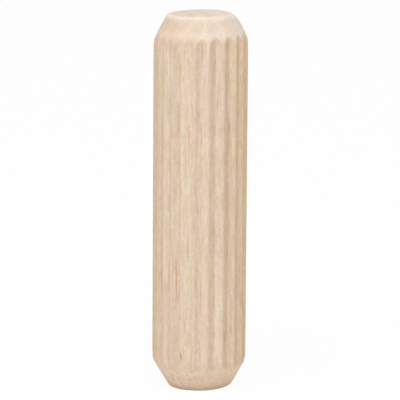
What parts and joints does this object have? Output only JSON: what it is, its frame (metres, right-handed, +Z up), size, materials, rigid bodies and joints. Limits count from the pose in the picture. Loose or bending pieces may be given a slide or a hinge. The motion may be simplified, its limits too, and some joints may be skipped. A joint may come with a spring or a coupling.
{
  "type": "dowel pin",
  "caption": "Round wooden dowel pin with lengthwise flutes and chamfered ends, glued into drilled holes to line up and join two boards.",
  "frame": {"origin": "centre of the lower end face, on which the pin stands", "axes": "+Z up along the pin's axis; X and Y lie across the pin, and -Y faces the pictured side to within 5 degrees"},
  "size_m": [0.01, 0.01, 0.04],
  "materials": {
    "wood": "matte"
  },
  "bodies": {
    "root": {"dowel_pin": "wood"}
  },
  "joints": []
}
